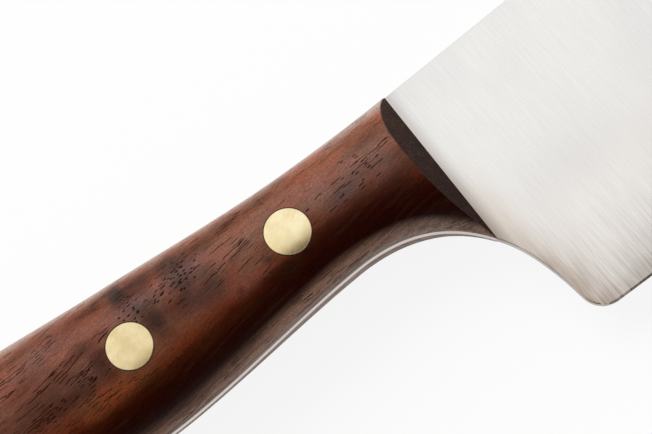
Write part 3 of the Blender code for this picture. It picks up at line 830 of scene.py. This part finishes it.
def brushed_steel(name, base_rough, shade):
    """Satin steel: grinding lines square to the spine, strongest at the heel, tarnish and painted shade by
    the choil, and painted shade, light and reflections near the handle and heel.
    """
    material, tree, shader = new_material(name, Metallic=1.0)
    place = knife_millimetres(tree)
    apart = add(tree, "ShaderNodeSeparateXYZ", {0: place})
    x, y = apart.outputs["X"], apart.outputs["Y"]
    fine = noise(tree, stretched(tree, place, (6.5, 0.16, 1.0)))
    medium = noise(tree, stretched(tree, place, (3.0, 0.13, 1.0), move=(7, 3, 0)))
    broad = noise(tree, stretched(tree, place, (0.9, 0.04, 1.0), move=(3, 8, 0)))
    cloud = noise(tree, stretched(tree, place, (0.045, 0.03, 0.05)))
    blotch = noise(tree, stretched(tree, place, (0.55, 0.16, 0.2), move=(2, 6, 0)))
    line = math_node(tree, "MULTIPLY_ADD", broad, 0.3, fine)
    line = math_node(tree, "MULTIPLY_ADD", medium, 1.4, line)
    spread = math_node(tree, "ADD", line, -1.35)
    low = ramp(tree, y, -22.0, -50.0)
    by_heel = ramp(tree, x, 14.0, 34.0, 1.0, 0.2)

    colour = mix(tree, ramp(tree, cloud, 0.35, 0.65), *STEEL_CLOUDS)
    # Painted warm shade on the steel low by the heel
    colour = mix(tree, times(tree, low, ramp(tree, x, 4.0, 14.0, 0.50, 0.05)), colour, WARM_HEEL_SHADE)
    # A pinkish tint on the tang between the scales, a painted reflection of the wood
    colour = mix(tree, ramp(tree, x, 1.0, -2.0), colour, TANG_WOOD_REFLECTION)
    # Warmer, darker steel by the scales' lower front: partly residue of the wood's finish, partly a
    # painted reflection of the wood
    by_handle = times(tree, ramp(tree, x, 6.0, 0.5), ramp(tree, y, -14.0, -30.0))
    colour = mix(tree, times(tree, by_handle, 0.8), colour, RESIDUE_AND_REFLECTION_BY_HANDLE)

    # Painted shade on the steel along the line where the scales' front meets it
    past_scales = math_node(tree, "MULTIPLY_ADD", y, -math.tan(FRONT_SKEW), x)
    by_line = times(tree, ramp(tree, past_scales, 2.7, -0.6), ramp(tree, past_scales, -0.4, 0.0))
    scale_line_shade = times(tree, by_line, ramp(tree, y, -4.0, -32.0, 0.32, 0.61))
    colour = mix(tree, scale_line_shade, colour, SHADE_BY_SCALES)

    # Darker brown towards the choil and along the edge at the heel: partly tarnish, partly painted shade
    choil = ramp(tree, y, -30.0, -47.0, -0.8, 3.6)
    by_choil = ramp(tree, math_node(tree, "SUBTRACT", x, choil), 8.0, -0.5)
    by_choil = math_node(tree, "POWER", by_choil, ramp(tree, y, -34.0, -44.0, 1.2, 2.0))
    by_choil = times(tree, by_choil, ramp(tree, y, -27.0, -44.0, 0.08, 0.53))
    by_edge = times(tree, by_heel, ramp(tree, y, -47.5, -51.2, 0.0, 0.26))
    tarnish_and_shade = math_node(tree, "ADD", by_choil, by_edge)
    tarnish_and_shade = times(tree, tarnish_and_shade, ramp(tree, blotch, 0.3, 0.7, 0.75, 1.25))
    colour = mix(tree, tarnish_and_shade, colour, TARNISH_AND_SHADE)

    strength = times(tree, by_heel, math_node(tree, "POWER", low, 2.0))
    strength = math_node(tree, "MULTIPLY_ADD", strength, 0.36, 0.12)
    strength = math_node(tree, "MULTIPLY_ADD", tarnish_and_shade, 0.4, strength)
    # A painted lighter patch on the blade behind the heel, low above the edge
    painted_lift = times(tree, ramp(tree, x, 5.0, 13.0), ramp(tree, y, -28.0, -37.0))
    painted_lift = times(tree, painted_lift, ramp(tree, y, -50.0, -43.0, 0.0, 0.11))
    painted_lift = times(tree, painted_lift, ramp(tree, x, 34.0, 20.0))
    tone = math_node(tree, "ADD", painted_lift, shade)
    tone = math_node(tree, "MULTIPLY_ADD", spread, strength, tone)
    rough = math_node(tree, "MULTIPLY_ADD", line, 0.05, base_rough)
    bump = add(tree, "ShaderNodeBump", {"Height": line, "Strength": 0.10, "Distance": 0.02 * MM})
    join_to(
        tree,
        shader,
        Base_Color=scaled(tree, colour, tone),
        Roughness=rough,
        Normal=bump.outputs[0],
    )
    return material


def polished_wood(name, seed, patches_at, wall_sheen):
    """Dark oiled hardwood: growth figure, open pores, smoky patches, painted shade in a near-black band
    low on the side, a painted sheen on the underside and a painted highlight on the back rim.
    """
    material, tree, shader = new_material(name, IOR=1.5)
    place = knife_millimetres(tree)
    chart = add(tree, "ShaderNodeUVMap", uv_map="handle").outputs[0]
    share = add(tree, "ShaderNodeSeparateXYZ", {0: chart}).outputs["Y"]
    apart = add(tree, "ShaderNodeSeparateXYZ", {0: place})
    along = apart.outputs["X"]

    # The grain wanders a little, and every layer of it follows
    wander = noise(tree, stretched(tree, place, (0.035, 0.05, 0.05), move=(seed, 0, 0)), 1.0)
    ripple = noise(tree, stretched(tree, place, (0.30, 0.30, 0.2), move=(seed, 31, 0)), 1.0)
    shift = math_node(tree, "MULTIPLY_ADD", ripple, 0.5, -2.75)
    shift = math_node(tree, "MULTIPLY_ADD", wander, 5.0, shift)
    grain = moved(tree, place, add(tree, "ShaderNodeCombineXYZ", {"Y": shift}).outputs[0])
    figure = noise(tree, stretched(tree, grain, (0.022, 0.26, 0.2), GRAIN_TILT, (seed, 2, 0)), 3.0)
    streak = noise(tree, stretched(tree, grain, (0.06, 1.1, 0.9), GRAIN_TILT, (seed, 5, 0)), 3.0)
    mottle = noise(tree, stretched(tree, place, (0.16, 0.22, 0.2), move=(seed, 17, 0)), 3.0)
    fibre = noise(
        tree, stretched(tree, grain, (0.55, 4.5, 3.5), GRAIN_TILT, (seed, 9, 0)), 2.0, 0.6
    )
    grit = noise(tree, stretched(tree, place, (3.2, 4.4, 4.0)), 1.0, 0.6)

    # Bands across the handle, with painted shade in the near-black band low on the side
    forward = ramp(tree, along, -62.0, -15.0, 0.04, -0.10)
    band = math_node(tree, "MULTIPLY_ADD", figure, 0.14, share)
    band = math_node(tree, "MULTIPLY_ADD", mottle, 0.10, band)
    middle_only = times(tree, ramp(tree, share, 0.05, 0.30), ramp(tree, share, 0.86, 0.64))
    band = math_node(tree, "MULTIPLY_ADD", forward, middle_only, band)
    butt = ramp(tree, along, -105.0, -119.0, 0.0, 0.85)
    band = add(tree, "ShaderNodeMix", {0: butt, 2: band, 3: 0.62}).outputs[0]
    layers = add(tree, "ShaderNodeValToRGB", {"Fac": times(tree, band, 1 / WOOD_BAND_TOP)})
    fill_ramp(layers, WOOD_TONES_AND_SHADE, WOOD_BAND_TOP)
    colour = layers.outputs[0]

    # Streaks and patches
    colour = mix(tree, times(tree, ramp(tree, streak, 0.52, 0.72), 0.42), colour, DARK_STREAK)
    light_streak = times(tree, ramp(tree, streak, 0.44, 0.30), 0.25)
    colour = mix(tree, light_streak, colour, LIGHT_STREAK, "MULTIPLY")
    for key, patch_colour in PATCH_COLOURS.items():
        colour = mix(tree, soft_spots(tree, place, patches_at[key]), colour, patch_colour)
    tint = mix(tree, ramp(tree, mottle, 0.38, 0.62), *WOOD_TINTS)
    colour = mix(tree, 1.0, colour, tint, "MULTIPLY")

    # Painted sheen on the underside and its flat wall by the steel, and a painted highlight on the rim at
    # the back
    narrow = math_node(
        tree,
        "ADD",
        ramp(tree, along, -26.0, -15.0, 0.0, 0.028),
        ramp(tree, along, -12.0, -4.0, 0.0, 0.012),
    )
    narrow = math_node(tree, "MULTIPLY_ADD", forward, 0.35, narrow)
    sheen_zone = ramp(tree, math_node(tree, "ADD", share, narrow), 0.106, 0.012)
    wall = ramp(tree, share, 0.012, 0.002)
    # Painted sheen: lighter brown-grey along the underside, and on the wall a tone per side, lighter on
    # the left than the right
    sheen_colour = mix(tree, ramp(tree, along, -18.0, -8.0), *UNDERSIDE_SHEEN)
    sheen_colour = mix(tree, wall, sheen_colour, wall_sheen)
    sheen_colour = scaled(tree, sheen_colour, ramp(tree, streak, 0.60, 0.42, 0.62, 1.0))
    colour = mix(tree, sheen_zone, colour, sheen_colour)
    # A painted highlight: lighter wood along the back rim
    rim_highlight = math_node(tree, "ADD", share, ramp(tree, along, -20.0, -8.0, 0.0, 0.03))
    rim_highlight = ramp(tree, rim_highlight, 0.915, 1.0)
    colour = mix(tree, times(tree, rim_highlight, 0.6), colour, RIM_HIGHLIGHT)

    # Fibres, and pores on a map that follows the rounding of the handle
    threads = times(
        tree,
        ramp(tree, fibre, 0.32, 0.68, 0.82, 1.18, smooth=False),
        ramp(tree, grit, 0.3, 0.7, 0.76, 1.24, smooth=False),
    )
    colour = scaled(tree, colour, threads)
    drop = math_node(tree, "SUBTRACT", 10.0, math_node(tree, "ABSOLUTE", apart.outputs["Z"]))
    drop = times(tree, drop, ramp(tree, share, 0.25, 0.95, -0.9, 0.9))
    unrolled = moved(tree, grain, add(tree, "ShaderNodeCombineXYZ", {"Y": drop}).outputs[0])
    maps = {
        "lines": soft_spots(tree, place, patches_at["lines"], ragged=0.3),
        "dashes": soft_spots(tree, place, patches_at["dashes"], ragged=0.3),
        "dots": soft_spots(tree, place, patches_at["dots"], ragged=0.6),
    }
    pores = open_pores(tree, unrolled, seed, maps)
    colour = mix(tree, times(tree, pores, 0.95), colour, PORE)

    # Oil: how strongly each place shines
    rough = ramp(tree, fibre, 0.2, 0.8, 0.20, 0.28)
    rough = math_node(tree, "MULTIPLY_ADD", pores, 0.3, rough)
    towards_butt = times(
        tree, ramp(tree, along, -60.0, -75.0), ramp(tree, share, 0.60, 0.80, 0.0, 0.22)
    )
    oiled = greater(tree, ramp(tree, along, -60.0, -15.0, 0.14, 0.24), towards_butt)
    oiled = times(tree, oiled, ramp(tree, share, 0.3, 0.55, 0.7, 1.0))
    oiled = greater(tree, oiled, times(tree, sheen_zone, 0.16))
    oiled = greater(tree, oiled, times(tree, rim_highlight, 0.6))
    oiled = times(tree, oiled, ramp(tree, wall, 0.0, 1.0, 1.0, 0.08, smooth=False))
    oiled = times(tree, oiled, ramp(tree, pores, 0.0, 1.0, 1.0, 0.1, smooth=False))
    height = math_node(tree, "MULTIPLY_ADD", grit, 0.5, fibre)
    height = math_node(tree, "MULTIPLY_ADD", pores, -0.5, height)
    bump = add(tree, "ShaderNodeBump", {"Height": height, "Strength": 0.35, "Distance": 0.05 * MM})
    join_to(
        tree,
        shader,
        Base_Color=colour,
        Roughness=rough,
        Specular_IOR_Level=oiled,
        Normal=bump.outputs[0],
    )
    return material


def fill_ramp(node, stops, top=1.0):
    """Colours at places from 0 to top, on a ramp whose factor runs from 0 to 1."""
    ramp_stops = node.color_ramp
    ramp_stops.interpolation = "EASE"
    while len(ramp_stops.elements) < len(stops):
        ramp_stops.elements.new(0.5)
    for element, (position, colour) in zip(ramp_stops.elements, stops):
        element.position = position / top
        element.color = (*colour, 1)


def soft_spots(tree, place, spots, ragged=1.0):
    """Soft clouds at given places of the face."""
    cloud = noise(tree, stretched(tree, place, (0.20, 0.30, 0.2)), 3.0, 0.55)
    total = None
    for x, y, long, wide, depth in spots:
        local = moved(tree, place, (-x, -y, 0.0))
        flat = add(
            tree,
            "ShaderNodeVectorMath",
            {0: local, 1: (1 / long, 1 / wide, 0.0)},
            operation="MULTIPLY",
        )
        uneven = math_node(tree, "MULTIPLY_ADD", cloud, ragged, length(tree, flat.outputs[0]))
        spot = times(tree, ramp(tree, uneven, 1.2 + ragged / 2, ragged / 2), depth)
        total = spot if total is None else greater(tree, total, spot)
    return total


def open_pores(tree, place, seed, maps):
    """Open pores: long thin lines and short dashes in rows along the grain, and clusters of dots."""
    zone = noise(tree, stretched(tree, place, (0.05, 0.14, 0.1), GRAIN_TILT, (seed, 11, 0)))
    row = noise(tree, stretched(tree, place, (0.02, 0.75, 0.1), 2 * DEGREE, (seed, 29, 0)), 1.0)
    jog = noise(tree, stretched(tree, place, (0.9, 0.5, 0.1), move=(seed, 83, 0)), 1.0)
    jog = ramp(tree, jog, 0.0, 1.0, -0.12, 0.12, smooth=False)
    place = moved(tree, place, add(tree, "ShaderNodeCombineXYZ", {"Y": jog}).outputs[0])
    usual = times(
        tree, ramp(tree, zone, 0.36, 0.60, 0.05, 0.62), ramp(tree, row, 0.38, 0.60, 0.30, 1.15)
    )
    long = greater(tree, usual, times(tree, maps["lines"], 0.5))
    short = greater(tree, times(tree, long, 0.4), maps["dashes"])
    maps = {**maps, "long": long, "short": short}
    total = None
    for size, key in PORE_LAYERS:
        layer = sprinkle(tree, place, size, maps[key], seed)
        total = layer if total is None else greater(tree, total, layer)
    return total


def sprinkle(tree, place, size, share, seed):
    """One layer of pores, where share says how many of its cells hold one."""
    long, wide, radius, turn, move = size
    cells = stretched(
        tree, place, (1 / long, 1 / wide, 0.0), turn * DEGREE, (move + seed, move, 0)
    )
    spot = add(
        tree,
        "ShaderNodeTexVoronoi",
        {"Vector": cells, "Scale": 1.0, "Randomness": 1.0},
        voronoi_dimensions="2D",
        distance="CHEBYCHEV",
    )
    luck = add(tree, "ShaderNodeSeparateColor", {0: spot.outputs["Color"]}).outputs[0]
    reach = ramp(tree, math_node(tree, "SUBTRACT", share, luck), 0.0, 0.2, 0.0, radius)
    reach = math_node(tree, "SUBTRACT", reach, 0.02)
    return ramp(tree, math_node(tree, "SUBTRACT", reach, spot.outputs["Distance"]), -0.02, 0.03)


def end_grain(name):
    """The sawn front face, matt and darker."""
    material, tree, shader = new_material(name, Roughness=0.7, Specular_IOR_Level=0.10)
    place = knife_millimetres(tree)
    speck = noise(tree, stretched(tree, place, (2.0, 2.6, 2.6)), 4.0, 0.7)
    cloud = noise(tree, stretched(tree, place, (0.1, 0.14, 0.2)))
    stain = noise(tree, stretched(tree, place, (0.35, 0.40, 0.4), move=(5, 0, 0)))
    depth = add(tree, "ShaderNodeSeparateXYZ", {0: place}).outputs["Y"]
    down = ramp(tree, math_node(tree, "MULTIPLY_ADD", cloud, 10.0, depth), 2.0, -20.0)
    colour = mix(tree, down, *END_GRAIN)
    colour = mix(tree, times(tree, ramp(tree, speck, 0.48, 0.62), 0.8), colour, END_GRAIN_DARK)
    colour = mix(tree, times(tree, ramp(tree, speck, 0.46, 0.34), 0.5), colour, END_GRAIN_LIGHT)
    colour = mix(tree, times(tree, ramp(tree, stain, 0.45, 0.70), 0.55), colour, END_GRAIN_STAIN)
    bump = add(tree, "ShaderNodeBump", {"Height": speck, "Strength": 0.3, "Distance": 0.03 * MM})
    join_to(tree, shader, Base_Color=colour, Normal=bump.outputs[0])
    return material


def brushed_brass():
    """Brushed brass, darker on the two rivets behind the front one, painted shade."""
    material, tree, shader = new_material("brushed_brass", Metallic=1.0)
    place = knife_millimetres(tree)
    fine = noise(tree, stretched(tree, place, (0.5, 5.5, 1.0), 34 * DEGREE), 3.0, 0.6)
    cloud = noise(tree, stretched(tree, place, (0.35, 0.35, 0.35)))
    along = add(tree, "ShaderNodeSeparateXYZ", {0: place}).outputs["X"]
    front_brass = mix(tree, ramp(tree, cloud, 0.30, 0.70), *FRONT_RIVET_BRASS)
    shaded_brass = mix(tree, ramp(tree, cloud, 0.30, 0.70), *SHADED_RIVET_BRASS)
    # The two rivets behind the front one take the darker brass, painted shade
    colour = mix(tree, ramp(tree, along, -50.0, -56.0), front_brass, shaded_brass)
    colour = scaled(tree, colour, ramp(tree, fine, 0.25, 0.75, 0.90, 1.08, smooth=False))
    rough = ramp(tree, fine, 0.2, 0.8, 0.15, 0.22)
    bump = add(tree, "ShaderNodeBump", {"Height": fine, "Strength": 0.10, "Distance": 0.02 * MM})
    join_to(tree, shader, Base_Color=colour, Roughness=rough, Normal=bump.outputs[0])
    return material


def chart_handle(piece):
    """A UV map whose V runs across the handle, from 0 at the underside to 1 at the back."""
    chart = piece.data.uv_layers.get("handle") or piece.data.uv_layers.new(name="handle")
    for loop in piece.data.loops:
        point = piece.data.vertices[loop.vertex_index].co
        x = min(max(point.x, BUTT_X), HEEL_FORWARD)
        low = underside_at(x)
        high = top_line(x)
        chart.data[loop.index].uv = (point.x / HANDLE_LENGTH, (point.y - low) / max(high - low, 1 * MM))


# Stage

FLOOR_SIZE = 12
FLOOR_GREY = (0.92, 0.92, 0.92, 1.0)
ROOM_GREY = (0.45, 0.45, 0.45)
ROOM_DARK = (0.08, 0.08, 0.08)
GLOSSY_ROOM_GREY = (0.55, 0.55, 0.55)
SOFTBOX_STRENGTH = 1.08

# What a gloss sees by the angle from straight up, below 0 on the edge side and above on the spine side
LEAN_LOW = -90.0
LEAN_HIGH = 12.0
LEAN_STOPS = (
    (-86.0, (1.3, 1.25, 1.2)),
    (-72.0, (0.70, 0.67, 0.64)),
    (-60.0, (0.20, 0.18, 0.17)),
    (-48.0, (0.06, 0.055, 0.05)),
    (-36.0, (0.01, 0.008, 0.006)),
    (-15.0, (0.02, 0.015, 0.010)),
    (-9.0, (0.10, 0.07, 0.045)),
    (-5.0, (0.37, 0.30, 0.23)),
    (0.0, (0.92, 0.885, 0.85)),
    (5.0, (1.0, 0.99, 0.98)),
)


def make_stage():
    """A pale floor that looks white to the camera and keeps the object's shadow."""
    bpy.ops.object.select_all(action="DESELECT")
    bpy.ops.mesh.primitive_plane_add(size=FLOOR_SIZE)
    floor = bpy.context.object
    floor.name = "floor"
    material = bpy.data.materials.new("pale_floor")
    material.use_nodes = True
    tree = material.node_tree
    tree.nodes.remove(tree.nodes["Principled BSDF"])
    path = add(tree, "ShaderNodeLightPath").outputs
    matt = add(tree, "ShaderNodeBsdfDiffuse", {"Color": FLOOR_GREY}).outputs[0]
    glow = ramp(tree, path["Is Camera Ray"], 0.0, 1.0, 0.80, 1.0, smooth=False)
    white = add(tree, "ShaderNodeEmission", {"Strength": glow}).outputs[0]
    far = length(tree, add(tree, "ShaderNodeTexCoord").outputs["Object"])
    seen = greater(tree, path["Is Camera Ray"], path["Is Glossy Ray"])
    seen = greater(tree, seen, path["Is Transmission Ray"])
    share = times(tree, seen, ramp(tree, far, 0.2, 0.9, 0.88, 1.0))
    blend = add(tree, "ShaderNodeMixShader", {0: share, 1: matt, 2: white}).outputs[0]
    tree.links.new(blend, tree.nodes["Material Output"].inputs["Surface"])
    floor.data.materials.append(material)


def make_world():
    """A softbox leaning to the spine side, a pale room, and a dark stretch low on the edge side."""
    world = bpy.data.worlds.new("studio")
    bpy.context.scene.world = world
    world.use_nodes = True
    world.cycles.sampling_method = "NONE"
    tree = world.node_tree
    way = add(tree, "ShaderNodeTexCoord").outputs["Generated"]
    apart = add(tree, "ShaderNodeSeparateXYZ", {0: way})
    lean = math_node(tree, "ARCTAN2", apart.outputs["Y"], apart.outputs["Z"])
    lean = times(tree, lean, 1 / DEGREE)
    sideways = math_node(tree, "ABSOLUTE", apart.outputs["X"])
    place = ramp(tree, lean, LEAN_LOW, LEAN_HIGH, smooth=False)
    fall = add(tree, "ShaderNodeValToRGB", {"Fac": place})
    span = LEAN_HIGH - LEAN_LOW
    fill_ramp(fall, [((lean_at - LEAN_LOW) / span, colour) for lean_at, colour in LEAN_STOPS])
    softbox = scaled(tree, fall.outputs[0], SOFTBOX_STRENGTH)
    over = times(tree, ramp(tree, lean, 58.0, 42.0), ramp(tree, sideways, 0.80, 0.55))
    gloss = mix(tree, over, GLOSSY_ROOM_GREY, softbox)
    gap = times(tree, ramp(tree, lean, 10.0, -20.0), ramp(tree, lean, -52.0, -40.0))
    gap = times(tree, gap, ramp(tree, sideways, 0.70, 0.45))
    plain = mix(tree, gap, ROOM_GREY, ROOM_DARK)
    path = add(tree, "ShaderNodeLightPath").outputs
    shiny = greater(tree, path["Is Glossy Ray"], path["Is Transmission Ray"])
    colour = mix(tree, shiny, plain, gloss)
    colour = mix(tree, path["Is Camera Ray"], colour, (1.0, 1.0, 1.0))
    tree.links.new(colour, tree.nodes["Background"].inputs["Color"])


def make_lamp(name, place, size, power):
    bpy.ops.object.light_add(type="AREA", location=place)
    lamp = bpy.context.object
    lamp.name = name
    lamp.data.size = size
    lamp.data.energy = power
    lamp.rotation_euler = (-Vector(place)).to_track_quat("-Z", "Y").to_euler()
    lamp.visible_glossy = False
    lamp.visible_camera = False


def make_camera():
    """Placed from the knife's own axes: distance, tilt to the edge, turn and roll of the photograph."""
    width, height = 652, 434
    sensor = 36
    focal_pixels = 2000.0
    distance = 340.0
    scales_front = (386.0, 97.6)
    aim = Vector((0.32, 0.18, 0.0))
    tilt = 13 * DEGREE
    turn = -4 * DEGREE
    roll = 39.1 * DEGREE
    back = Vector((math.sin(turn), -math.sin(tilt), 0.0))
    back.z = math.sqrt(1 - back.x**2 - back.y**2)
    along = Vector((1.0, 0.0, 0.0))
    along = (along - back * along.dot(back)).normalized()
    across = back.cross(along)
    right = along * math.cos(roll) - across * math.sin(roll)
    up = along * math.sin(roll) + across * math.cos(roll)
    u = (scales_front[0] - width / 2) / focal_pixels * distance
    v = -(scales_front[1] - height / 2) / focal_pixels * distance
    pose = Matrix((right, up, back)).transposed().to_4x4()
    pose.translation = (back * distance - right * u - up * v + aim) * MM
    bpy.ops.object.camera_add()
    camera = bpy.context.object
    camera.matrix_world = KNIFE @ pose
    camera.data.sensor_width = sensor
    camera.data.lens = focal_pixels * sensor / width
    camera.data.clip_start = 0.01
    bpy.context.scene.camera = camera


def dress_blade():
    blade = make_blade()
    blade.data.materials.append(brushed_steel("satin_steel", 0.17, 1.0))
    # The ground edge's colour is darkened to under half, painted shade
    blade.data.materials.append(brushed_steel("ground_edge_painted_shade", 0.33, 0.46))
    for face in blade.data.polygons:
        x, y, _ = face.center
        low_down = x > BEVEL_START and y < underside_at(x) + BEVEL_HEIGHT
        face.material_index = 1 if low_down and 0.5 < abs(face.normal.z) < 0.985 else 0
    laid_down(blade, 6 * DEGREE)
    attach(blade, "root")
    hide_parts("blade")


def dress_scale(side, sign, seed, patches_at):
    scale = make_scale(f"{side}_wooden_scale")
    chart_handle(scale)
    if side == "left":
        turned_over(scale)
    scale.data.materials.append(
        polished_wood(f"{side}_hardwood", seed, patches_at, WALL_SHEEN_TONES[side])
    )
    scale.data.materials.append(end_grain(f"{side}_end_grain"))
    rake = Vector((1.0, -math.tan(FRONT_SKEW), sign * math.tan(FRONT_RAKE))).normalized()
    for face in scale.data.polygons:
        in_front = face.normal.dot(rake) > 0.99 and face.center.x > FRONT_END
        face.material_index = 1 if in_front else 0
    laid_down(scale, 30 * DEGREE)
    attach(scale, "root")
    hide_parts(f"{side}_scale")


def dress_rivets():
    brass = brushed_brass()
    for label in RIVET_STATIONS:
        for kind in ("sleeve", "pin"):
            rivet = make_rivet(f"{label}_brass_{kind}", label, kind == "sleeve")
            if kind == "pin":
                turned_over(rivet)
            rivet.data.materials.append(brass)
            laid_down(rivet, 20 * DEGREE)
            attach(rivet, "root")
            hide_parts(f"{label}_rivet_{kind}")


dress_blade()
dress_scale("right", 1.0, 0.0, RIGHT_PATCHES)
dress_scale("left", -1.0, 57.0, LEFT_PATCHES)
dress_rivets()
make_stage()
make_world()
make_lamp("softbox", (-0.2, 1.2, 0.95), 1.3, 27)
make_camera()
bpy.context.scene.view_settings.view_transform = "Standard"
